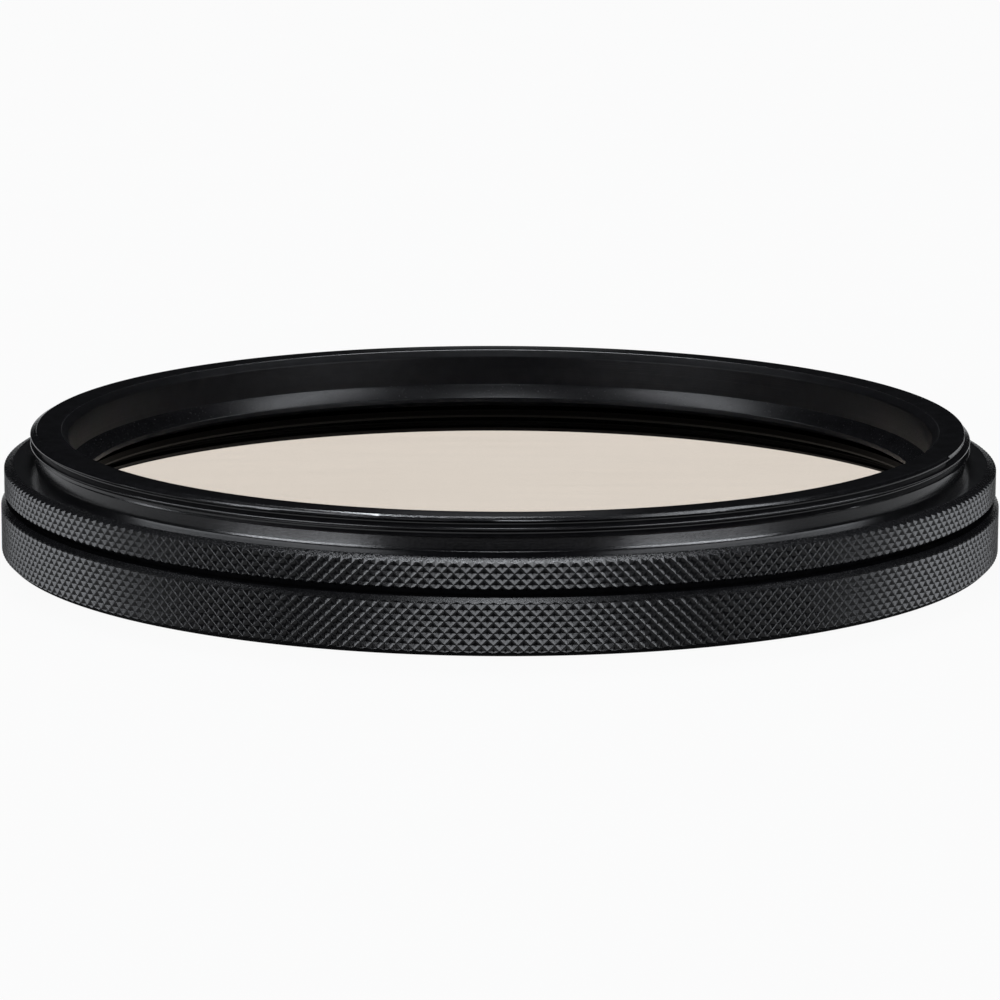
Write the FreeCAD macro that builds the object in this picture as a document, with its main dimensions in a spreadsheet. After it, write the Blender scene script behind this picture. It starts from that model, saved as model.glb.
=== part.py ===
import FreeCAD, Part
import os
import Sketcher

# Rotating circular polarizing filter with an 82 mm lens thread, in millimetres.
# It lies face down: Z is its axis, from the front face at 0 up to the end of the lens thread.
# The front ring turns in the rear ring and carries the glass pack.

SIZES = [
    ("thread_diameter", 82.0, "lens thread, major diameter, rear and front"),
    ("thread_pitch", 0.75, "lens thread, pitch"),
    ("thread_depth_ratio", 0.5413, "depth of the front thread over its pitch"),
    ("front_wall", 1.53, "front ring, knurled wall outside the guide channel"),
    ("front_height", 4.81, "front ring, height of the knurled wall"),
    ("front_edge_chamfer", 0.5, "front ring, chamfer round the front face"),
    ("front_bevel", 0.46, "front ring, chamfer next to the gap"),
    ("front_thread_length", 1.85, "front thread, length with its mouth"),
    ("front_mouth_chamfer", 0.45, "front thread, chamfer at the mouth"),
    ("channel_web", 0.9, "front ring, metal between the thread and the guide channel"),
    ("thread_step", 0.994, "front ring, step from the thread in to the glass bore"),
    ("glass_lip_width", 1.7, "front ring, lip behind the glass, across"),
    ("glass_lip_thickness", 0.45, "front ring, lip behind the glass, along the axis"),
    ("cup_wall", 1.02, "front ring, wall round the glass"),
    ("glass_thickness", 1.35, "each cover glass"),
    ("glass_bevel", 0.15, "ground edge of the cover glasses"),
    ("film_thickness", 0.1, "each film"),
    ("film_margin", 0.6, "film edge inside the glass edge"),
    ("glass_clearance", 0.1, "room round the glass, radial"),
    ("retainer_height", 0.75, "retaining ring, height"),
    ("retainer_width", 1.55, "retaining ring, radial width"),
    ("retainer_chamfer", 0.25, "retaining ring, chamfer of the inner edge"),
    ("retainer_clearance", 0.04, "room round the retaining ring, radial"),
    ("spanner_slot_width", 1.5, "retaining ring, spanner slot width"),
    ("spanner_slot_depth", 0.4, "retaining ring, spanner slot depth"),
    ("spanner_slot_count", 2, "retaining ring, number of spanner slots"),
    ("ring_gap", 0.55, "gap that shows between the two knurled rings"),
    ("spigot_wall", 1.2, "rear ring, wall of the guide spigot"),
    ("cup_clearance", 0.18, "guide spigot round the glass cup, radial"),
    ("running_clearance", 0.07, "guide spigot in its channel, radial"),
    ("axial_clearance", 0.15, "between the rings along the axis"),
    ("rear_setback", 0.3, "rear ring, knurl inside the front ring's knurl, radial"),
    ("rear_flange_height", 2.58, "rear ring, height of the knurled flange"),
    ("rear_edge_chamfer", 0.2, "rear ring, chamfer next to the gap"),
    ("rear_bevel_width", 0.8, "rear ring, bevel behind the knurl, across"),
    ("rear_bevel_height", 0.37, "rear ring, bevel behind the knurl, along the axis"),
    ("collar_height", 2.84, "rear ring, lens collar from the flange to the rim"),
    ("collar_foot_height", 0.12, "rear ring, raised foot of the collar"),
    ("neck_depth", 0.6, "rear ring, thread relief under the major radius"),
    ("neck_length", 0.94, "rear ring, thread relief, along the axis"),
    ("thread_end_chamfer", 0.3, "rear ring, chamfer at the start of the thread"),
    ("collar_wall", 3.3, "rear ring, lens collar, from the bore to the thread"),
    ("rim_chamfer", 0.58, "rear ring, chamfer inside the rim"),
    ("cone_step", 1.3, "rear ring, conical step, across"),
    ("cone_height", 1.08, "rear ring, conical step, along the axis"),
    ("cone_land", 0.4, "rear ring, land below the conical step"),
    ("knurl_count", 140, "knurl grooves round a ring, each way"),
    ("knurl_angle", 45.0, "knurl grooves to the rings' faces, degrees"),
    ("knurl_depth", 0.4, "knurl grooves, depth"),
    ("knurl_ridge_drop", 0.01, "knurl ridges under the blank, at the ends of a groove"),
    ("wire_diameter", 0.5, "spring wire"),
    ("wire_clearance", 0.06, "room for the wire when it is pressed into the spigot"),
    ("wire_seat_gap", 0.02, "wire to the bottom of the front ring's groove"),
    ("wire_arc", 352.0, "open wire ring, degrees"),
]

os.makedirs("parts", exist_ok=True)
doc = FreeCAD.newDocument("polarizing_filter")
sheet = doc.addObject("Spreadsheet::Sheet", "sizes")
for row, (alias, value, meaning) in enumerate(SIZES, start=1):
    sheet.set(f"A{row}", meaning)
    sheet.set(f"B{row}", str(value))
    sheet.setAlias(f"B{row}", alias)
doc.recompute()

# Radii that several pieces share, as expressions on the sheet
THREAD_R = "(sizes.thread_diameter / 2)"
FRONT_THREAD_R = f"({THREAD_R} - sizes.thread_pitch * sizes.thread_depth_ratio)"
GLASS_BORE_R = f"({FRONT_THREAD_R} - sizes.thread_step)"
GLASS_R = f"({GLASS_BORE_R} - sizes.glass_clearance)"
CUP_R = f"({GLASS_BORE_R} + sizes.cup_wall)"
SPIGOT_BORE_R = f"({CUP_R} + sizes.cup_clearance)"
SPIGOT_R = f"({SPIGOT_BORE_R} + sizes.spigot_wall)"
CHANNEL_R = f"({SPIGOT_R} + sizes.running_clearance)"
FRONT_R = f"({CHANNEL_R} + sizes.front_wall)"
REAR_R = f"({FRONT_R} - sizes.rear_setback)"
FRONT_GROOVE_R = f"({CHANNEL_R} + sizes.wire_diameter / 2)"
REAR_GROOVE_R = f"({SPIGOT_R} - sizes.wire_diameter - sizes.wire_clearance)"

# Heights that several pieces share
GLASS_BOTTOM = "(sizes.front_thread_length + sizes.retainer_height)"
POLARIZER_BOTTOM = f"({GLASS_BOTTOM} + sizes.glass_thickness)"
RETARDER_BOTTOM = f"({POLARIZER_BOTTOM} + sizes.film_thickness)"
REAR_GLASS_BOTTOM = f"({RETARDER_BOTTOM} + sizes.film_thickness)"
LIP_BOTTOM = f"({REAR_GLASS_BOTTOM} + sizes.glass_thickness)"
CUP_TOP = f"({LIP_BOTTOM} + sizes.glass_lip_thickness)"
CONE_LAND_BOTTOM = f"({CUP_TOP} + sizes.axial_clearance)"
CONE_BOTTOM = f"({CONE_LAND_BOTTOM} + sizes.cone_land)"
CONE_TOP = f"({CONE_BOTTOM} + sizes.cone_height)"
CHANNEL_FLOOR = "(sizes.front_thread_length + sizes.channel_web)"
SPIGOT_BOTTOM = f"({CHANNEL_FLOOR} + sizes.axial_clearance)"
FLANGE_BOTTOM = "(sizes.front_height + sizes.ring_gap)"
FLANGE_TOP = f"({FLANGE_BOTTOM} + sizes.rear_flange_height)"
RIM_TOP = f"({FLANGE_TOP} + sizes.collar_height)"
WIRE_HEIGHT = f"(({SPIGOT_BOTTOM} + sizes.front_height) / 2)"
WIRE_GROOVE_HALF = "(sizes.wire_diameter / 2 + sizes.wire_clearance)"


def new_body(label):
    body = doc.addObject("PartDesign::Body", label)
    body.Label = label
    return body


def origin_feature(body, role):
    return next(feature for feature in body.Origin.OriginFeatures if feature.Role == role)


def new_sketch(body, name, role):
    sketch = body.newObject("Sketcher::SketchObject", name)
    sketch.AttachmentSupport = [(origin_feature(body, role), "")]
    sketch.MapMode = "FlatFace"
    doc.recompute()
    return sketch


def number(text):
    return float(sheet.evalExpression(text))


def bind(sketch, kind, line, text):
    """Holds the start of a line at a distance from the sketch's origin, given by an expression."""
    constraint = Sketcher.Constraint(kind, -1, 1, line, 1, number(text))
    index = sketch.addConstraint(constraint)
    sketch.setExpression(f"Constraints[{index}]", text)


def outline(sketch, corners):
    """A closed outline of straight lines through corners that are pairs of expressions."""
    points = [FreeCAD.Vector(number(across), number(along), 0) for across, along in corners]
    count = len(points)
    for i in range(count):
        sketch.addGeometry(Part.LineSegment(points[i], points[(i + 1) % count]), False)
    for i in range(count):
        sketch.addConstraint(Sketcher.Constraint("Coincident", i, 2, (i + 1) % count, 1))
    for i, (across, along) in enumerate(corners):
        bind(sketch, "DistanceX", i, across)
        bind(sketch, "DistanceY", i, along)
    doc.recompute()


def turned(body, name, corners):
    """Turns a section, given as radius and height expressions, round the axis."""
    sketch = new_sketch(body, f"{name}_section", "XZ_Plane")
    outline(sketch, corners)
    feature = body.newObject("PartDesign::Revolution", name)
    feature.Profile = sketch
    feature.ReferenceAxis = (sketch, ["V_Axis"])
    feature.Angle = 360.0
    doc.recompute()
    return feature


def turned_groove(body, name, inner, outer, bottom, top):
    """Cuts a square groove round the axis and makes sure that it took metal away."""
    before = body.Shape.Volume
    sketch = new_sketch(body, f"{name}_section", "XZ_Plane")
    outline(sketch, [(inner, bottom), (outer, bottom), (outer, top), (inner, top)])
    feature = body.newObject("PartDesign::Groove", name)
    feature.Profile = sketch
    feature.ReferenceAxis = (sketch, ["V_Axis"])
    feature.Angle = 360.0
    doc.recompute()
    if body.Shape.Volume >= before:
        raise RuntimeError(f"{name} cuts nothing")


def wire_groove(body, name, inner, outer):
    bottom = f"({WIRE_HEIGHT} - {WIRE_GROOVE_HALF})"
    top = f"({WIRE_HEIGHT} + {WIRE_GROOVE_HALF})"
    turned_groove(body, name, inner, outer, bottom, top)


def knurl(body, name, radius, height, middle):
    """Cuts crossing rows of vee grooves round a band, so that sharp diamonds are left between them."""
    angle = "(sizes.knurl_angle * 1 deg)"
    half_spacing = f"(pi * {radius} / sizes.knurl_count * sin{angle})"
    # A groove is straight, so it lies deepest under the round blank at its middle.
    end_reach = f"({height} / 2 / tan{angle})"
    ridge_drop = f"({end_reach} ^ 2 / {radius} / 2 + sizes.knurl_ridge_drop)"
    half_width = f"({half_spacing} / (sizes.knurl_depth - {ridge_drop}) * 2 * sizes.knurl_depth)"
    root = f"({radius} - sizes.knurl_depth)"
    outside = f"({radius} + sizes.knurl_depth)"
    for hand, way in (("right", 1), ("left", -1)):
        before = body.Shape.Volume
        sketch = new_sketch(body, f"{name}_{hand}_vee", "XZ_Plane")
        outline(sketch, [(root, "0"), (outside, f"-{half_width}"), (outside, half_width)])
        tilt = FreeCAD.Rotation(FreeCAD.Vector(way, 0, 0), number("sizes.knurl_angle"))
        sketch.AttachmentOffset = FreeCAD.Placement(FreeCAD.Vector(0, number(middle), 0), tilt)
        sketch.setExpression("AttachmentOffset.Base.y", middle)
        sketch.setExpression("AttachmentOffset.Rotation.Angle", "sizes.knurl_angle")
        groove = body.newObject("PartDesign::Pocket", f"{name}_{hand}_groove")
        groove.Profile = sketch
        groove.Midplane = True
        groove.setExpression("Length", f"{height} / sin{angle} + 4 * {half_spacing}")
        doc.recompute()
        grooves = body.newObject("PartDesign::PolarPattern", f"{name}_{hand}_grooves")
        grooves.Originals = [groove]
        grooves.Axis = (origin_feature(body, "Z_Axis"), [""])
        grooves.Angle = 360.0
        grooves.setExpression("Occurrences", "sizes.knurl_count")
        body.Tip = grooves
        doc.recompute()
        if body.Shape.Volume >= before:
            raise RuntimeError(f"{name} cuts nothing")


def make_front_ring():
    """The ring that is turned by hand: front thread, glass cup, guide channel and knurled wall."""
    body = new_body("front_ring")
    face_outer = f"({FRONT_R} - sizes.front_edge_chamfer)"
    bevel_inner = f"({FRONT_R} - sizes.front_bevel)"
    bevel_bottom = "(sizes.front_height - sizes.front_bevel)"
    lip_r = f"({GLASS_BORE_R} - sizes.glass_lip_width)"
    mouth_r = f"({FRONT_THREAD_R} + sizes.front_mouth_chamfer)"
    turned(
        body,
        "front_ring_turning",
        [
            (mouth_r, "0"),
            (face_outer, "0"),
            (FRONT_R, "sizes.front_edge_chamfer"),
            (FRONT_R, bevel_bottom),
            (bevel_inner, "sizes.front_height"),
            (CHANNEL_R, "sizes.front_height"),
            (CHANNEL_R, CHANNEL_FLOOR),
            (CUP_R, CHANNEL_FLOOR),
            (CUP_R, CUP_TOP),
            (lip_r, CUP_TOP),
            (lip_r, LIP_BOTTOM),
            (GLASS_BORE_R, LIP_BOTTOM),
            (GLASS_BORE_R, "sizes.front_thread_length"),
            (FRONT_THREAD_R, "sizes.front_thread_length"),
            (FRONT_THREAD_R, "sizes.front_mouth_chamfer"),
        ],
    )
    wire_groove(body, "front_wire_groove", f"({CHANNEL_R} - sizes.running_clearance)", FRONT_GROOVE_R)
    knurl(body, "front_knurl", FRONT_R, "sizes.front_height", "(sizes.front_height / 2)")
    return body


def make_rear_ring():
    """The ring that screws on to the lens: guide spigot, knurled flange, threaded collar and conical lip."""
    body = new_body("rear_ring")
    face_outer = f"({REAR_R} - sizes.rear_edge_chamfer)"
    bevel_inner = f"({REAR_R} - sizes.rear_bevel_width)"
    neck_r = f"({THREAD_R} - sizes.neck_depth)"
    thread_end_r = f"({THREAD_R} - sizes.thread_end_chamfer)"
    bore_r = f"({THREAD_R} - sizes.collar_wall)"
    cone_r = f"({bore_r} - sizes.cone_step)"
    rim_inner = f"({bore_r} + sizes.rim_chamfer)"
    foot_top = f"({FLANGE_TOP} + sizes.collar_foot_height)"
    thread_bottom = f"({foot_top} + sizes.neck_length)"
    turned(
        body,
        "rear_ring_turning",
        [
            (SPIGOT_BORE_R, SPIGOT_BOTTOM),
            (SPIGOT_R, SPIGOT_BOTTOM),
            (SPIGOT_R, FLANGE_BOTTOM),
            (face_outer, FLANGE_BOTTOM),
            (REAR_R, f"({FLANGE_BOTTOM} + sizes.rear_edge_chamfer)"),
            (REAR_R, f"({FLANGE_TOP} - sizes.rear_bevel_height)"),
            (bevel_inner, FLANGE_TOP),
            (THREAD_R, FLANGE_TOP),
            (THREAD_R, foot_top),
            (neck_r, foot_top),
            (neck_r, thread_bottom),
            (THREAD_R, f"({thread_bottom} + sizes.neck_depth / 2)"),
            (THREAD_R, f"({RIM_TOP} - sizes.thread_end_chamfer)"),
            (thread_end_r, RIM_TOP),
            (rim_inner, RIM_TOP),
            (bore_r, f"({RIM_TOP} - sizes.rim_chamfer)"),
            (bore_r, CONE_TOP),
            (cone_r, CONE_BOTTOM),
            (cone_r, CONE_LAND_BOTTOM),
            (SPIGOT_BORE_R, CONE_LAND_BOTTOM),
        ],
    )
    wire_groove(body, "rear_wire_groove", REAR_GROOVE_R, f"({SPIGOT_R} + sizes.running_clearance)")
    flange_middle = f"(({FLANGE_BOTTOM} + {FLANGE_TOP}) / 2)"
    knurl(body, "rear_knurl", REAR_R, "sizes.rear_flange_height", flange_middle)
    return body


def make_disc(label, radius, thickness, bottom):
    """A round plate that lies at a height of the glass pack."""
    body = new_body(label)
    sketch = new_sketch(body, f"{label}_outline", "XY_Plane")
    circle = Part.Circle(FreeCAD.Vector(0, 0, 0), FreeCAD.Vector(0, 0, 1), number(radius))
    sketch.addGeometry(circle, False)
    sketch.addConstraint(Sketcher.Constraint("Coincident", 0, 3, -1, 1))
    index = sketch.addConstraint(Sketcher.Constraint("Radius", 0, number(radius)))
    sketch.setExpression(f"Constraints[{index}]", radius)
    plate = body.newObject("PartDesign::Pad", f"{label}_plate")
    plate.Profile = sketch
    plate.setExpression("Length", thickness)
    body.setExpression("Placement.Base.z", bottom)
    doc.recompute()
    return body


def make_glass(label, bottom):
    """A cover glass: a disc with both edges ground."""
    body = make_disc(label, GLASS_R, "sizes.glass_thickness", bottom)
    plate = body.Tip
    rims = [
        f"Edge{i}"
        for i, edge in enumerate(plate.Shape.Edges, start=1)
        if isinstance(edge.Curve, Part.Circle)
    ]
    bevel = body.newObject("PartDesign::Chamfer", f"{label}_ground_edge")
    bevel.Base = (plate, rims)
    bevel.setExpression("Size", "sizes.glass_bevel")
    doc.recompute()
    return body


def make_film(label, bottom):
    return make_disc(label, f"({GLASS_R} - sizes.film_margin)", "sizes.film_thickness", bottom)


def make_retaining_ring():
    """The ring that is screwed in against the front glass, with slots for a spanner."""
    body = new_body("glass_retaining_ring")
    outer = f"({GLASS_BORE_R} - sizes.retainer_clearance)"
    inner = f"({outer} - sizes.retainer_width)"
    turned(
        body,
        "retaining_ring_turning",
        [
            (f"({inner} + sizes.retainer_chamfer)", "0"),
            (outer, "0"),
            (outer, "sizes.retainer_height"),
            (inner, "sizes.retainer_height"),
            (inner, "sizes.retainer_chamfer"),
        ],
    )
    before = body.Shape.Volume
    sketch = new_sketch(body, "spanner_slot_outline", "XY_Plane")
    half = "(sizes.spanner_slot_width / 2)"
    near = f"({inner} - sizes.retainer_chamfer)"
    far = f"({outer} + sizes.retainer_clearance)"
    outline(sketch, [(near, f"-{half}"), (far, f"-{half}"), (far, half), (near, half)])
    slot = body.newObject("PartDesign::Pocket", "spanner_slot")
    slot.Profile = sketch
    slot.Reversed = True
    slot.setExpression("Length", "sizes.spanner_slot_depth")
    doc.recompute()
    pattern = body.newObject("PartDesign::PolarPattern", "spanner_slots")
    pattern.Originals = [slot]
    pattern.Axis = (sketch, ["N_Axis"])
    pattern.Angle = 360.0
    pattern.setExpression("Occurrences", "sizes.spanner_slot_count")
    body.Tip = pattern
    body.setExpression("Placement.Base.z", "sizes.front_thread_length")
    doc.recompute()
    if body.Shape.Volume >= before:
        raise RuntimeError("the spanner slots cut nothing")
    return body


def make_spring_wire():
    """The open wire ring that springs outwards into the front ring's groove."""
    wire = doc.addObject("Part::Torus", "spring_wire_ring")
    wire.Label = "spring_wire_ring"
    wire.setExpression("Radius1", f"{FRONT_GROOVE_R} - sizes.wire_seat_gap - sizes.wire_diameter / 2")
    wire.setExpression("Radius2", "sizes.wire_diameter / 2")
    wire.setExpression("Angle3", "sizes.wire_arc")
    wire.setExpression("Placement.Base.z", WIRE_HEIGHT)
    doc.recompute()
    return wire


def check(objects):
    for item in doc.Objects:
        if "Invalid" in item.State or "Error" in item.State:
            raise RuntimeError(f"{item.Label} failed")
    for item in objects:
        if item.Shape.isNull() or not item.Shape.isValid():
            raise RuntimeError(f"{item.Label} has no valid shape")
        if len(item.Shape.Solids) != 1:
            raise RuntimeError(f"{item.Label} is not one solid")


pieces = [
    make_front_ring(),
    make_rear_ring(),
    make_glass("front_glass", GLASS_BOTTOM),
    make_film("polarizing_film", POLARIZER_BOTTOM),
    make_film("quarter_wave_film", RETARDER_BOTTOM),
    make_glass("rear_glass", REAR_GLASS_BOTTOM),
    make_retaining_ring(),
    make_spring_wire(),
]
doc.recompute()
check(pieces)
for piece in pieces:
    piece.Shape.exportStep(f"parts/{piece.Label}.step")
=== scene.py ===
"""A polarizing filter that lies on its front ring: knurled rings, threads, cemented glass and the light."""
import math

import bmesh
import bpy
from mathutils import Matrix, Vector


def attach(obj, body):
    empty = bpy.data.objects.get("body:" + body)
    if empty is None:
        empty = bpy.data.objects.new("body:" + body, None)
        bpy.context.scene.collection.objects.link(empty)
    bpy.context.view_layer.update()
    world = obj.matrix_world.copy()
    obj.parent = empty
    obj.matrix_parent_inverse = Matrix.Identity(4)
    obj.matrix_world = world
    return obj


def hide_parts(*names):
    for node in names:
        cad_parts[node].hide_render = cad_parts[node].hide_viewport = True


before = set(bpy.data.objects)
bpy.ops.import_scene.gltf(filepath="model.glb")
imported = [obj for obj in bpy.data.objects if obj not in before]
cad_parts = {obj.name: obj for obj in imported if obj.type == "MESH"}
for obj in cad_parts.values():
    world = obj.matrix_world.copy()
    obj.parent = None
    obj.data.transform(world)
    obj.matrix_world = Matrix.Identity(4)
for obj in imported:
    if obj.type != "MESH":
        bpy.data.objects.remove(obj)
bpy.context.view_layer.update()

# Sizes are in millimetres. Heights are measured from the front face, on which the filter lies.
MM = 0.001
WELD = 0.0005 * MM
NEAR = 0.02

# Knurl: pits in staggered rows, with a ridge and two narrow shoulders between each two.
PITS_ROUND = 280
PIT_DEPTH = 0.25
RIDGE_WIDTH = 0.022
SHOULDER_WIDTH = 0.03
SHOULDER_DROP = 0.008
ROW_SPACING = 0.475
PATCH_PITS = 13
SECTOR = 2 * math.pi / PITS_ROUND

# Threads of 82 mm by 0.75 mm.
THREAD_RADIUS = 41.0
THREAD_DEPTH = 0.406
THREAD_PITCH = 0.75
THREAD_STEPS = 240
CREST_ROUND = 0.12
CREST_STEPS = 6
CREST_SWING = math.radians(60)
FLANK_LEAN = math.radians(30)

# Glass pack, from the front glass to the rear glass.
GLASS_RADIUS = 39.5
GLASS_THICK = 1.35
GLASS_EDGE = 0.15
FILM_RADIUS = 38.9
FILM_THICK = 0.1
FACE_MARGIN = 0.004
FRONT_GLASS_LOW = 2.6
POLARIZER_LOW = FRONT_GLASS_LOW + GLASS_THICK
RETARDER_LOW = POLARIZER_LOW + FILM_THICK
REAR_GLASS_LOW = RETARDER_LOW + FILM_THICK
REAR_GLASS_TOP = REAR_GLASS_LOW + GLASS_THICK

# Wire groove that both rings share.
WIRE_HEIGHT = 3.855
WIRE_HALF = 0.31
WIRE_LOW = WIRE_HEIGHT - WIRE_HALF
WIRE_HIGH = WIRE_HEIGHT + WIRE_HALF

# Front ring: knurled band, guide channel, glass seat with its lip, and thread.
FRONT_CREST = 43.6
FRONT_ROW = 2.86
FRONT_TOP = 4.81
FRONT_BEVEL = 0.46
FRONT_CHAMFER = 0.5
FRONT_FACE_RADIUS = FRONT_CREST - FRONT_CHAMFER
FRONT_TOP_RADIUS = FRONT_CREST - FRONT_BEVEL
CHANNEL_OUTER = 42.07
CHANNEL_INNER = 40.62
CHANNEL_FLOOR = 2.75
CHANNEL_GROOVE = CHANNEL_OUTER + 0.25
LIP_RADIUS = 37.9
LIP_TOP = 5.95
SEAT_RADIUS = 39.6
SEAT_FLOOR = 1.85
FRONT_EDGE = 0.05

# Rear ring: knurled flange, spigot, neck, thread core, and the wall round the light's way.
REAR_CREST = 43.3
REAR_ROW = 6.265
REAR_TURN = 0.21
REAR_BOTTOM = 5.36
REAR_CHAMFER = 0.2
SHELF = 7.94
SHELF_RADIUS = 42.5
SHELF_BEVEL = 0.37
SPIGOT_OUTER = 42.0
SPIGOT_INNER = 40.8
SPIGOT_END = 2.9
SPIGOT_GROOVE = 41.44
REAR_TOP = 10.78
RIM_RADIUS = 38.28
WALL_RADIUS = 37.7
WALL_TOP = 10.2
CONE_TOP = 7.58
CONE_BOTTOM = 6.5
OPENING_RADIUS = 36.4
REAR_FLOOR = 6.1
CORE_RADIUS = 40.54
CORE_FOOT = 9.08
CORE_EDGE = 0.08

# Neck below the lens thread: a leaning wall with a steeper foot and a broken edge.
NECK_RADIUS = 40.4
NECK_TOP = 9.0
NECK_LEAN = math.radians(7.0)
NECK_FOOT = 8.14
FOOT_LEAN = math.radians(9.5)
FOOT_BLEND = 0.03
FOOT_EDGE = 0.04
NECK_FOOT_RADIUS = NECK_RADIUS + (NECK_TOP - NECK_FOOT) * math.tan(NECK_LEAN)
FOOT_RADIUS = NECK_FOOT_RADIUS + (NECK_FOOT - SHELF) * math.tan(FOOT_LEAN)

# Grain of the finishes: noise scales, and the height of the grain.
CLOUD_SCALE = 900.0
SHEEN_SCALE = 5200.0
GRIT_SCALE = 9000.0
GRIT_HEIGHT = 0.02
FINE_LINES = 14000.0
COARSE_LINES = 4500.0
WIRE_LINES = 12000.0
SMEAR_SCALE = 60.0

# Floor and light.
FLOOR_SIZE = 30.0
FLOOR_CLEARANCE = 0.03
FLOOR_GRAIN = 40.0
MIRRORED_SHARE = 0.3
WHITE_SHARE = 0.94
COOL_LIGHT = (0.92, 0.95, 1.0)
AIM_HEIGHT = 5.45


def to_material(name):
    """A new material with its node list, links and shader."""
    material = bpy.data.materials.new(name)
    material.use_nodes = True
    tree = material.node_tree
    return material, tree.nodes, tree.links, tree.nodes["Principled BSDF"]


def node(nodes, kind, **values):
    """A node of a kind, with its properties and the inputs that are given by their names."""
    made = nodes.new(kind)
    for name, value in values.items():
        if name in made.inputs:
            made.inputs[name].default_value = value
        else:
            setattr(made, name, value)
    return made


def coordinates(nodes):
    """The piece's own coordinates."""
    return node(nodes, "ShaderNodeTexCoord").outputs["Object"]


def speckle(nodes, links, vector, scale, detail=3.0, roughness=0.6):
    """A fine noise: returns its value."""
    made = node(nodes, "ShaderNodeTexNoise", Scale=scale, Detail=detail, Roughness=roughness)
    links.new(vector, made.inputs["Vector"])
    return made.outputs["Fac"]


def span(nodes, links, value, low, high, start=0.3, end=0.7):
    """Maps a noise value to a range of numbers."""
    made = node(nodes, "ShaderNodeMapRange")
    made.inputs["From Min"].default_value = start
    made.inputs["From Max"].default_value = end
    made.inputs["To Min"].default_value = low
    made.inputs["To Max"].default_value = high
    links.new(value, made.inputs["Value"])
    return made.outputs["Result"]


def tone(nodes, links, value, dark, pale, start=0.3, end=0.7):
    """Maps a noise value to a range of colours."""
    made = nodes.new("ShaderNodeValToRGB")
    made.color_ramp.elements[0].position = start
    made.color_ramp.elements[0].color = (*dark, 1.0)
    made.color_ramp.elements[1].position = end
    made.color_ramp.elements[1].color = (*pale, 1.0)
    links.new(value, made.inputs["Fac"])
    return made.outputs["Color"]


def turning_marks(nodes, links, vector, scale):
    """Fine lines round the axis, as a turning tool leaves them."""
    apart = nodes.new("ShaderNodeSeparateXYZ")
    links.new(vector, apart.inputs["Vector"])
    flat = nodes.new("ShaderNodeCombineXYZ")
    links.new(apart.outputs["X"], flat.inputs["X"])
    links.new(apart.outputs["Y"], flat.inputs["Y"])
    radius = node(nodes, "ShaderNodeVectorMath", operation="LENGTH")
    links.new(flat.outputs["Vector"], radius.inputs[0])
    section = nodes.new("ShaderNodeCombineXYZ")
    links.new(radius.outputs["Value"], section.inputs["X"])
    links.new(apart.outputs["Z"], section.inputs["Z"])
    return speckle(nodes, links, section.outputs["Vector"], scale, detail=2.0)


def raised(nodes, links, shader, value, height, strength):
    """Bumps the surface by a noise value."""
    made = node(nodes, "ShaderNodeBump", Strength=strength, Distance=height)
    links.new(value, made.inputs["Height"])
    links.new(made.outputs["Normal"], shader.inputs["Normal"])
    return made


def anodised(name, smooth, rough, shine, grain, marks, line_scale=FINE_LINES, line_depth=0.008):
    """Black anodised aluminium: dyed, satin, with a fine grain and turning marks."""
    material, nodes, links, shader = to_material(name)
    place = coordinates(nodes)
    cloud = speckle(nodes, links, place, CLOUD_SCALE)
    colour = tone(nodes, links, cloud, (0.0015, 0.0015, 0.0018), (0.004, 0.004, 0.0046))
    links.new(colour, shader.inputs["Base Color"])
    sheen = speckle(nodes, links, place, SHEEN_SCALE)
    links.new(span(nodes, links, sheen, smooth, rough), shader.inputs["Roughness"])
    shader.inputs["Specular IOR Level"].default_value = shine
    grit = speckle(nodes, links, place, GRIT_SCALE)
    bumps = raised(nodes, links, shader, grit, grain * GRIT_HEIGHT * MM, 1.0)
    if marks:
        turned = turning_marks(nodes, links, place, line_scale)
        lines = raised(nodes, links, shader, turned, line_depth * MM, marks)
        links.new(bumps.outputs["Normal"], lines.inputs["Normal"])
    return material


def glass_face(name):
    """The polished and coated outer face of a glass: it bends the view, and mirrors a little."""
    material, nodes, links, shader = to_material(name)
    nodes.remove(shader)
    smear = speckle(nodes, links, coordinates(nodes), SMEAR_SCALE)
    bent = node(nodes, "ShaderNodeBsdfRefraction", Roughness=0.0, IOR=1.5)
    links.new(tone(nodes, links, smear, (0.995, 0.995, 0.993), (1.0, 1.0, 1.0)), bent.inputs["Color"])
    mirrored = node(nodes, "ShaderNodeBsdfGlossy", Color=(0.82, 0.95, 0.88, 1.0), Roughness=0.02)
    share = node(nodes, "ShaderNodeMixShader", Fac=0.03)
    links.new(bent.outputs["BSDF"], share.inputs[1])
    links.new(mirrored.outputs["BSDF"], share.inputs[2])
    links.new(share.outputs["Shader"], nodes["Material Output"].inputs["Surface"])
    return material


def clear_film(name, dark, pale):
    """A thin film or a cemented face: light goes straight through it, tinted."""
    material, nodes, links, shader = to_material(name)
    nodes.remove(shader)
    streaks = node(nodes, "ShaderNodeMapping", Scale=(30.0, 400.0, 30.0))
    links.new(coordinates(nodes), streaks.inputs["Vector"])
    drawn = speckle(nodes, links, streaks.outputs["Vector"], 1.0)
    through = nodes.new("ShaderNodeBsdfTransparent")
    links.new(tone(nodes, links, drawn, dark, pale), through.inputs["Color"])
    links.new(through.outputs["BSDF"], nodes["Material Output"].inputs["Surface"])
    return material


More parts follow.
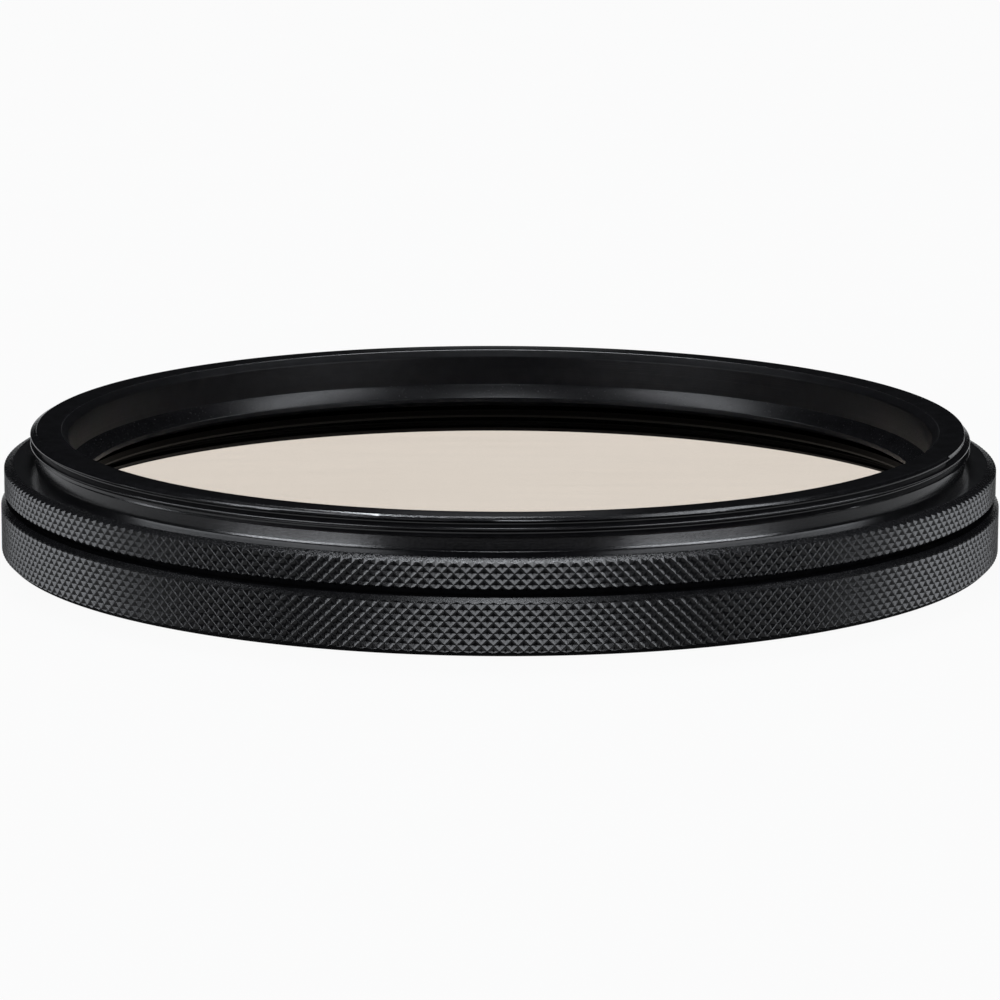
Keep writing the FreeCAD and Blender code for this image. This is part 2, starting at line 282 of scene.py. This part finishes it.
def ground_edge(name):
    """The ground and blackened edge of a glass."""
    material, nodes, links, shader = to_material(name)
    grit = speckle(nodes, links, coordinates(nodes), GRIT_SCALE)
    colour = tone(nodes, links, grit, (0.003, 0.003, 0.003), (0.009, 0.009, 0.009))
    links.new(colour, shader.inputs["Base Color"])
    links.new(span(nodes, links, grit, 0.6, 0.85), shader.inputs["Roughness"])
    shader.inputs["Specular IOR Level"].default_value = 0.05
    return material


def drawn_steel(name):
    """Spring wire, with fine lines along it from drawing."""
    material, nodes, links, shader = to_material(name)
    lines = turning_marks(nodes, links, coordinates(nodes), WIRE_LINES)
    links.new(tone(nodes, links, lines, (0.36, 0.36, 0.37), (0.56, 0.56, 0.57)), shader.inputs["Base Color"])
    links.new(span(nodes, links, lines, 0.22, 0.38), shader.inputs["Roughness"])
    shader.inputs["Metallic"].default_value = 1.0
    raised(nodes, links, shader, lines, 0.005 * MM, 0.3)
    return material


KNURL = anodised("black_knurl", smooth=0.18, rough=0.28, shine=0.32, grain=0.2, marks=0.0)
SATIN = anodised("black_satin_blast", smooth=0.2, rough=0.3, shine=0.42, grain=0.6, marks=0.1)
TURNED = anodised(
    "black_turned", smooth=0.14, rough=0.24, shine=0.52, grain=0.2, marks=0.5,
    line_scale=COARSE_LINES, line_depth=0.003,
)
RIM = anodised(
    "black_turned_rim", smooth=0.12, rough=0.18, shine=0.2, grain=0.12, marks=0.3,
    line_scale=COARSE_LINES, line_depth=0.003,
)
CONE = anodised("black_fine_turned_cone", smooth=0.2, rough=0.28, shine=0.32, grain=0.15, marks=0.15)
BORE = anodised(
    "black_grooved_bore", smooth=0.3, rough=0.4, shine=0.09, grain=0.1, marks=1.0, line_depth=0.02
)
DULL = anodised(
    "black_dull_turned", smooth=0.3, rough=0.42, shine=0.1, grain=0.12, marks=0.3,
    line_scale=COARSE_LINES, line_depth=0.003,
)
MATT = anodised("black_matt_inside", smooth=0.6, rough=0.75, shine=0.02, grain=0.12, marks=0.2)
RING_FINISHES = [KNURL, SATIN, TURNED, RIM, CONE, BORE, DULL, MATT]
GLASS_FACE = glass_face("coated_glass_face")
CEMENTED = clear_film("cemented_glass_face", (0.995, 0.995, 0.994), (1.0, 1.0, 0.999))
POLARIZER = clear_film("polarizing_film_tint", (0.796, 0.719, 0.646), (0.800, 0.723, 0.650))
RETARDER = clear_film("quarter_wave_film_tint", (0.982, 0.982, 0.976), (0.986, 0.986, 0.98))
GROUND_EDGE = ground_edge("ground_glass_edge")
STEEL = drawn_steel("drawn_spring_steel")


def finished(bm, name, materials, sharp_angle=24.0):
    """Closes the mesh, turns its faces outwards and makes it an object."""
    bmesh.ops.remove_doubles(bm, verts=bm.verts[:], dist=WELD)
    bmesh.ops.recalc_face_normals(bm, faces=bm.faces[:])
    for face in bm.faces:
        face.smooth = not materials or materials[face.material_index] is not KNURL
    for edge in bm.edges:
        if edge.is_manifold and edge.calc_face_angle() > math.radians(sharp_angle):
            edge.smooth = False
    mesh = bpy.data.meshes.new(name)
    bm.to_mesh(mesh)
    bm.free()
    for material in materials:
        mesh.materials.append(material)
    made = bpy.data.objects.new(name, mesh)
    bpy.context.scene.collection.objects.link(made)
    return made


def everything(bm):
    """All the parts of a mesh, as an operator takes them."""
    return bm.verts[:] + bm.edges[:] + bm.faces[:]


def on_sector(radius, height, side):
    """A point of the section on one side plane of the sector that faces the front."""
    turn = side * SECTOR / 2
    return Vector((radius * math.sin(turn), -radius * math.cos(turn), height)) * MM


def cut_to(bm, point, normal):
    """Cuts the mesh by a plane, drops what lies beyond it and returns the edges of the cut."""
    cut = bmesh.ops.bisect_plane(
        bm, geom=everything(bm), dist=WELD / 10, plane_co=point, plane_no=normal, clear_outer=True
    )
    return [e for e in cut["geom_cut"] if isinstance(e, bmesh.types.BMEdge)]


def pitted_patch(bm, radius, row):
    """A flat patch of pits with ridges between them, at the front of a band, cut to one sector."""
    half_pit = radius * math.tan(SECTOR / 2)
    stand = (
        Matrix.Translation(Vector((0, -radius, row)) * MM)
        @ Matrix.Rotation(math.radians(90), 4, "X")
        @ Matrix.Diagonal((half_pit * math.sqrt(2) * MM, ROW_SPACING * math.sqrt(2) * MM, 1, 1))
        @ Matrix.Rotation(math.radians(45), 4, "Z")
    )
    bmesh.ops.create_grid(
        bm, x_segments=PATCH_PITS, y_segments=PATCH_PITS, size=PATCH_PITS / 2, matrix=stand
    )
    bm.normal_update()
    pits = bm.faces[:]
    bmesh.ops.inset_individual(bm, faces=pits, thickness=RIDGE_WIDTH / 2 * MM, use_even_offset=True)
    bmesh.ops.inset_individual(
        bm, faces=pits, thickness=SHOULDER_WIDTH * MM, depth=-SHOULDER_DROP * MM, use_even_offset=True
    )
    bmesh.ops.poke(bm, faces=pits, offset=-(PIT_DEPTH - SHOULDER_DROP) * MM)
    for side in (-1, 1):
        turn = side * SECTOR / 2
        cut_to(bm, (0, 0, 0), (side * math.cos(turn), side * math.sin(turn), 0))


def edged(bm, outer, inner, upward, material):
    """Cuts the patch by a sloping rim and fills the rim; returns the rim's inner edge."""
    slope = Vector((0, -(outer[0] - inner[0]), outer[1] - inner[1]))
    normal = Vector((0, -slope.z, slope.y)).normalized()
    if (normal.z > 0) != upward:
        normal.negate()
    chain = cut_to(bm, Vector((0, -outer[0], outer[1])) * MM, normal)
    verts = {v for e in chain for v in e.verts}
    ends = []
    for side in (-1, 1):
        turn = side * SECTOR / 2
        plane = Vector((side * math.cos(turn), side * math.sin(turn), 0))
        ends.append(max(verts, key=lambda v: v.co.dot(plane)))
    corners = [bm.verts.new(on_sector(*inner, side)) for side in (-1, 1)]
    rim = [bm.edges.new((a, b)) for a, b in zip(ends, corners)]
    inner_edge = bm.edges.new(corners)
    filled = bmesh.ops.contextual_create(bm, geom=chain + rim + [inner_edge])
    for face in filled["faces"]:
        face.material_index = RING_FINISHES.index(material)
    return inner_edge


def round_edge(bm, radius, height, width):
    """Breaks a turned edge that runs round the ring at a radius and a height."""

    def on_edge(vert):
        return abs(vert.co.xy.length / MM - radius) < NEAR and abs(vert.co.z / MM - height) < NEAR

    edges = [e for e in bm.edges if on_edge(e.verts[0]) and on_edge(e.verts[1])]
    bmesh.ops.bevel(
        bm,
        geom=edges,
        offset=width * MM,
        segments=4,
        profile=0.5,
        affect="EDGES",
        material=-1,
        clamp_overlap=True,
    )


def knurled_ring(name, crest, row, top_rim, bottom_rim, section, underside, turn, rounded):
    """A turned ring with a knurled band: one sector is made, closed by the section and set round the axis."""
    bm = bmesh.new()
    pitted_patch(bm, crest, row)
    edge = edged(bm, *top_rim, upward=True, material=SATIN)
    edged(bm, *bottom_rim, upward=False, material=MATT)
    corners = [(material, corner) for material, stretch in section for corner in stretch]
    for material, (radius, height) in corners + [(underside, bottom_rim[1])]:
        old = set(bm.faces)
        grown = bmesh.ops.extrude_edge_only(bm, edges=[edge])["geom"]
        for vert in (v for v in grown if isinstance(v, bmesh.types.BMVert)):
            vert.co = on_sector(radius, height, 1 if vert.co.x > 0 else -1)
        for face in set(bm.faces) - old:
            face.material_index = RING_FINISHES.index(material)
        edge = next(e for e in grown if isinstance(e, bmesh.types.BMEdge))
    bmesh.ops.remove_doubles(bm, verts=bm.verts[:], dist=WELD)
    bmesh.ops.spin(
        bm,
        geom=everything(bm),
        axis=(0, 0, 1),
        angle=SECTOR * (PITS_ROUND - 1),
        steps=PITS_ROUND - 1,
        use_duplicate=True,
    )
    bmesh.ops.remove_doubles(bm, verts=bm.verts[:], dist=WELD)
    bmesh.ops.rotate(bm, verts=bm.verts[:], matrix=Matrix.Rotation(turn / crest, 3, "Z"))
    for radius, height, width in rounded:
        round_edge(bm, radius, height, width)
    return finished(bm, name, RING_FINISHES)


# Each stretch of a section has its finish and the corners, as radius and height, that it leads to.
FRONT_SECTION = [
    (TURNED, [(CHANNEL_OUTER, FRONT_TOP)]),
    (MATT, [(CHANNEL_OUTER, WIRE_HIGH), (CHANNEL_GROOVE, WIRE_HIGH)]),
    (MATT, [(CHANNEL_GROOVE, WIRE_LOW), (CHANNEL_OUTER, WIRE_LOW)]),
    (MATT, [(CHANNEL_OUTER, CHANNEL_FLOOR), (CHANNEL_INNER, CHANNEL_FLOOR)]),
    (MATT, [(CHANNEL_INNER, LIP_TOP), (LIP_RADIUS, LIP_TOP), (LIP_RADIUS, REAR_GLASS_TOP)]),
    (MATT, [(SEAT_RADIUS, REAR_GLASS_TOP), (SEAT_RADIUS, SEAT_FLOOR)]),
    (DULL, [(THREAD_RADIUS, SEAT_FLOOR), (THREAD_RADIUS, FRONT_EDGE), (THREAD_RADIUS + FRONT_EDGE, 0.0)]),
]
NECK = [
    (FOOT_RADIUS + FOOT_EDGE, SHELF),
    (FOOT_RADIUS, SHELF + FOOT_EDGE),
    (NECK_FOOT_RADIUS + FOOT_BLEND * math.tan(FOOT_LEAN), NECK_FOOT - FOOT_BLEND),
    (NECK_FOOT_RADIUS - FOOT_BLEND * math.tan(NECK_LEAN), NECK_FOOT + FOOT_BLEND),
    (NECK_RADIUS, NECK_TOP),
]
REAR_SECTION = [
    (TURNED, [*NECK, (CORE_RADIUS, CORE_FOOT), (CORE_RADIUS, REAR_TOP - CORE_EDGE)]),
    (TURNED, [(CORE_RADIUS - CORE_EDGE, REAR_TOP)]),
    (RIM, [(RIM_RADIUS, REAR_TOP)]),
    (BORE, [(WALL_RADIUS, WALL_TOP), (WALL_RADIUS, CONE_TOP)]),
    (CONE, [(OPENING_RADIUS, CONE_BOTTOM)]),
    (BORE, [(OPENING_RADIUS, REAR_FLOOR)]),
    (MATT, [(SPIGOT_INNER, REAR_FLOOR), (SPIGOT_INNER, SPIGOT_END), (SPIGOT_OUTER, SPIGOT_END)]),
    (MATT, [(SPIGOT_OUTER, WIRE_LOW), (SPIGOT_GROOVE, WIRE_LOW)]),
    (MATT, [(SPIGOT_GROOVE, WIRE_HIGH), (SPIGOT_OUTER, WIRE_HIGH), (SPIGOT_OUTER, REAR_BOTTOM)]),
]

front_ring = knurled_ring(
    "front_ring_knurled",
    crest=FRONT_CREST,
    row=FRONT_ROW,
    top_rim=((FRONT_CREST, FRONT_TOP - FRONT_BEVEL), (FRONT_TOP_RADIUS, FRONT_TOP)),
    bottom_rim=((FRONT_CREST, FRONT_CHAMFER), (FRONT_FACE_RADIUS, 0.0)),
    section=FRONT_SECTION,
    underside=SATIN,
    turn=0.0,
    rounded=[
        (FRONT_TOP_RADIUS, FRONT_TOP, 0.05),
        (FRONT_FACE_RADIUS, 0.0, 0.08),
        (LIP_RADIUS, LIP_TOP, 0.1),
    ],
)
rear_ring = knurled_ring(
    "rear_ring_knurled",
    crest=REAR_CREST,
    row=REAR_ROW,
    top_rim=((REAR_CREST, SHELF - SHELF_BEVEL), (SHELF_RADIUS, SHELF)),
    bottom_rim=((REAR_CREST, REAR_BOTTOM + REAR_CHAMFER), (REAR_CREST - REAR_CHAMFER, REAR_BOTTOM)),
    section=REAR_SECTION,
    underside=MATT,
    turn=REAR_TURN,
    rounded=[
        (SHELF_RADIUS, SHELF, 0.06),
        (RIM_RADIUS, REAR_TOP, 0.08),
        (WALL_RADIUS, WALL_TOP, 0.08),
        (OPENING_RADIUS, CONE_BOTTOM, 0.06),
    ],
)


def thread(name, finish, foot, crest, low, high, limits, lowest, highest, start):
    """A right-hand thread: its section is spun up the axis, and each limit, a cone, trims it at a rim."""
    bm = bmesh.new()
    out = 1 if crest > foot else -1
    middle = crest - out * CREST_ROUND
    arc = [CREST_SWING * (2 * step / CREST_STEPS - 1) for step in range(CREST_STEPS + 1)]
    rounded = [(middle + out * CREST_ROUND * math.cos(a), CREST_ROUND * math.sin(a)) for a in arc]
    foot_half = CREST_ROUND * math.sin(CREST_SWING) + abs(rounded[0][0] - foot) * math.tan(FLANK_LEAN)
    corners = [(foot, -foot_half), *rounded, (foot, foot_half)]
    verts = [bm.verts.new(Vector((r, 0, low + z)) * MM) for r, z in corners]
    section = bm.faces.new(verts)
    turns = (high - low) / THREAD_PITCH
    steps = int(THREAD_STEPS * turns)
    bmesh.ops.spin(
        bm,
        geom=[section] + section.edges[:] + verts,
        axis=(0, 0, 1),
        dvec=(0, 0, (high - low) * MM / steps),
        angle=2 * math.pi * turns,
        steps=steps,
    )
    for vert in bm.verts:
        radius = vert.co.xy.length / MM
        height = vert.co.z / MM
        for rim_radius, rim_height, climb in limits:
            limit = rim_radius + (height - rim_height) * climb
            radius = min(radius, limit) if out > 0 else max(radius, limit)
        scale = radius / (vert.co.xy.length / MM)
        vert.co = Vector((vert.co.x * scale, vert.co.y * scale, min(max(height, lowest), highest) * MM))
    bmesh.ops.rotate(bm, verts=bm.verts[:], matrix=Matrix.Rotation(start, 3, "Z"))
    return finished(bm, name, [finish])


lens_thread = thread(
    "lens_thread_turns",
    finish=TURNED,
    foot=CORE_RADIUS - 0.1,
    crest=THREAD_RADIUS,
    low=8.85,
    high=REAR_TOP - 0.03,
    limits=[(THREAD_RADIUS - 0.3, REAR_TOP - 0.02, -1.3), (NECK_RADIUS, NECK_TOP, 2.0)],
    lowest=8.7,
    highest=REAR_TOP - 0.01,
    start=math.radians(147),
)
front_thread = thread(
    "front_thread_turns",
    finish=DULL,
    foot=THREAD_RADIUS + 0.1,
    crest=THREAD_RADIUS - THREAD_DEPTH,
    low=0.1,
    high=1.65,
    limits=[(THREAD_RADIUS + FRONT_EDGE, 0.0, -1.0)],
    lowest=0.01,
    highest=SEAT_FLOOR - 0.01,
    start=0.0,
)


def disc(name, radius, low, thick, edge, polished_above, materials):
    """A glass or a film: a round plate whose faces stay clear of the next plate's; a glass has ground edges."""
    bm = bmesh.new()
    bmesh.ops.create_circle(bm, cap_ends=True, segments=360, radius=radius * MM)
    bmesh.ops.translate(bm, verts=bm.verts[:], vec=(0, 0, (low + FACE_MARGIN) * MM))
    grown = bmesh.ops.extrude_face_region(bm, geom=bm.faces[:])["geom"]
    top = next(f for f in grown if isinstance(f, bmesh.types.BMFace))
    bmesh.ops.translate(bm, verts=top.verts[:], vec=(0, 0, (thick - 2 * FACE_MARGIN) * MM))
    if edge:
        rims = [e for e in bm.edges if abs(e.verts[0].co.z - e.verts[1].co.z) < WELD]
        bmesh.ops.bevel(
            bm, geom=rims, offset=edge * MM, segments=1, profile=0.5, affect="EDGES", material=-1
        )
    bm.normal_update()
    for face in bm.faces:
        if abs(face.normal.z) < 0.9:
            face.material_index = 2
        else:
            upper = face.calc_center_median().z / MM > low + thick / 2
            face.material_index = 0 if upper == polished_above else 1
    return finished(bm, name, materials)


rear_glass = disc(
    "rear_glass_disc", GLASS_RADIUS, REAR_GLASS_LOW, GLASS_THICK, GLASS_EDGE,
    polished_above=True, materials=[GLASS_FACE, CEMENTED, GROUND_EDGE],
)
front_glass = disc(
    "front_glass_disc", GLASS_RADIUS, FRONT_GLASS_LOW, GLASS_THICK, GLASS_EDGE,
    polished_above=False, materials=[GLASS_FACE, CEMENTED, GROUND_EDGE],
)
polarizer = disc(
    "polarizing_film_disc", FILM_RADIUS, POLARIZER_LOW, FILM_THICK, 0.0,
    polished_above=True, materials=[POLARIZER, CEMENTED, CEMENTED],
)
retarder = disc(
    "quarter_wave_film_disc", FILM_RADIUS, RETARDER_LOW, FILM_THICK, 0.0,
    polished_above=True, materials=[RETARDER, CEMENTED, CEMENTED],
)

for piece, body, replaced, finish in (
    (front_ring, "front_body", "front_ring", "black_anodised"),
    (front_thread, "front_body", None, "black_anodised"),
    (rear_ring, "rear_body", "rear_ring", "black_anodised"),
    (lens_thread, "rear_body", None, "black_anodised"),
    (rear_glass, "front_body", "rear_glass", "coated_glass"),
    (front_glass, "front_body", "front_glass", "coated_glass"),
    (polarizer, "front_body", "polarizing_film", "polarizer_film"),
    (retarder, "front_body", "quarter_wave_film", "retarder_film"),
):
    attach(piece, body)
    if replaced:
        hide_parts(replaced)

for node_name, material in (("glass_retaining_ring", DULL), ("spring_wire_ring", STEEL)):
    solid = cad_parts[node_name]
    for slot in solid.material_slots:
        slot.material = material


def pale_floor():
    """A plain floor that the camera and the glass see as white and the metal partly, with a soft shadow."""
    bm = bmesh.new()
    bmesh.ops.create_grid(bm, x_segments=1, y_segments=1, size=FLOOR_SIZE)
    bmesh.ops.translate(bm, verts=bm.verts[:], vec=(0, 0, -FLOOR_CLEARANCE * MM))
    floor = finished(bm, "studio_floor", [])
    material, nodes, links, shader = to_material("pale_floor")
    grain = speckle(nodes, links, coordinates(nodes), FLOOR_GRAIN)
    links.new(tone(nodes, links, grain, (0.29, 0.29, 0.29), (0.31, 0.31, 0.31)), shader.inputs["Base Color"])
    shader.inputs["Roughness"].default_value = 0.9
    path = nodes.new("ShaderNodeLightPath")
    seen = node(nodes, "ShaderNodeMath", operation="MULTIPLY_ADD")
    links.new(path.outputs["Is Glossy Ray"], seen.inputs[0])
    seen.inputs[1].default_value = MIRRORED_SHARE
    links.new(path.outputs["Is Camera Ray"], seen.inputs[2])
    shown = node(nodes, "ShaderNodeMath", operation="ADD", use_clamp=True)
    links.new(seen.outputs["Value"], shown.inputs[0])
    links.new(path.outputs["Is Transmission Ray"], shown.inputs[1])
    part = node(nodes, "ShaderNodeMath", operation="MULTIPLY")
    links.new(shown.outputs["Value"], part.inputs[0])
    part.inputs[1].default_value = WHITE_SHARE
    white = node(nodes, "ShaderNodeEmission", Color=(1.0, 1.0, 1.0, 1.0), Strength=1.0)
    mix = nodes.new("ShaderNodeMixShader")
    links.new(part.outputs["Value"], mix.inputs["Fac"])
    links.new(shader.outputs["BSDF"], mix.inputs[1])
    links.new(white.outputs["Emission"], mix.inputs[2])
    links.new(mix.outputs["Shader"], nodes["Material Output"].inputs["Surface"])
    floor.data.materials.append(material)


def softbox(name, place, width, depth, power, aim=(0, 0, 0.005)):
    """A rectangular lamp at a place, in metres, turned towards the filter."""
    lamp = bpy.data.lights.new(name, "AREA")
    lamp.shape = "RECTANGLE"
    lamp.size = width
    lamp.size_y = depth
    lamp.energy = power
    lamp.color = COOL_LIGHT
    made = bpy.data.objects.new(name, lamp)
    made.location = place
    made.rotation_euler = (Vector(aim) - Vector(place)).to_track_quat("-Z", "Y").to_euler()
    bpy.context.scene.collection.objects.link(made)


def studio():
    """The floor, the lamps and a nearly dark world."""
    pale_floor()
    softbox("back_bank", place=(0.0, 0.6, 0.77), width=0.24, depth=0.3, power=5.4)
    softbox("back_glow", place=(0.0, 0.98, 0.19), width=0.06, depth=0.12, power=0.0026)
    softbox("front_panel", place=(0.0, -0.31, 0.95), width=0.18, depth=0.32, power=2.2)
    for name, side in (("left", -1), ("right", 1)):
        softbox(f"{name}_softbox", place=(side * 0.78, -0.35, 0.52), width=1.3, depth=0.22, power=7.2)
        softbox(f"{name}_low_strip", place=(side * 0.737, -0.663, 0.13), width=0.6, depth=0.08, power=2.7)
        softbox(f"{name}_high_panel", place=(side * 0.4, 0.2, 0.89), width=0.12, depth=0.3, power=0.75)
    world = bpy.data.worlds.new("soft_studio")
    world.use_nodes = True
    shade = world.node_tree.nodes["Background"]
    shade.inputs["Color"].default_value = (0.95, 0.97, 1.0, 1.0)
    shade.inputs["Strength"].default_value = 0.006
    bpy.context.scene.world = world


def camera():
    """The photograph's view: a long lens, a little above the filter."""
    lens = bpy.data.cameras.new("camera")
    lens.lens = 178.8
    lens.sensor_width = 36.0
    lens.clip_start = 0.01
    lens.clip_end = 100.0
    made = bpy.data.objects.new("camera", lens)
    rise = math.radians(11.27)
    aim_below = math.radians(0.193)
    roll = math.radians(0.184)
    distance = 0.436
    place = Vector((0, -distance * math.cos(rise), AIM_HEIGHT * MM + distance * math.sin(rise)))
    made.matrix_world = (
        Matrix.Translation(place)
        @ Matrix.Rotation(math.radians(90) - rise - aim_below, 4, "X")
        @ Matrix.Rotation(roll, 4, "Z")
    )
    bpy.context.scene.collection.objects.link(made)
    bpy.context.scene.camera = made


studio()
camera()
bpy.context.scene.view_settings.view_transform = "Standard"
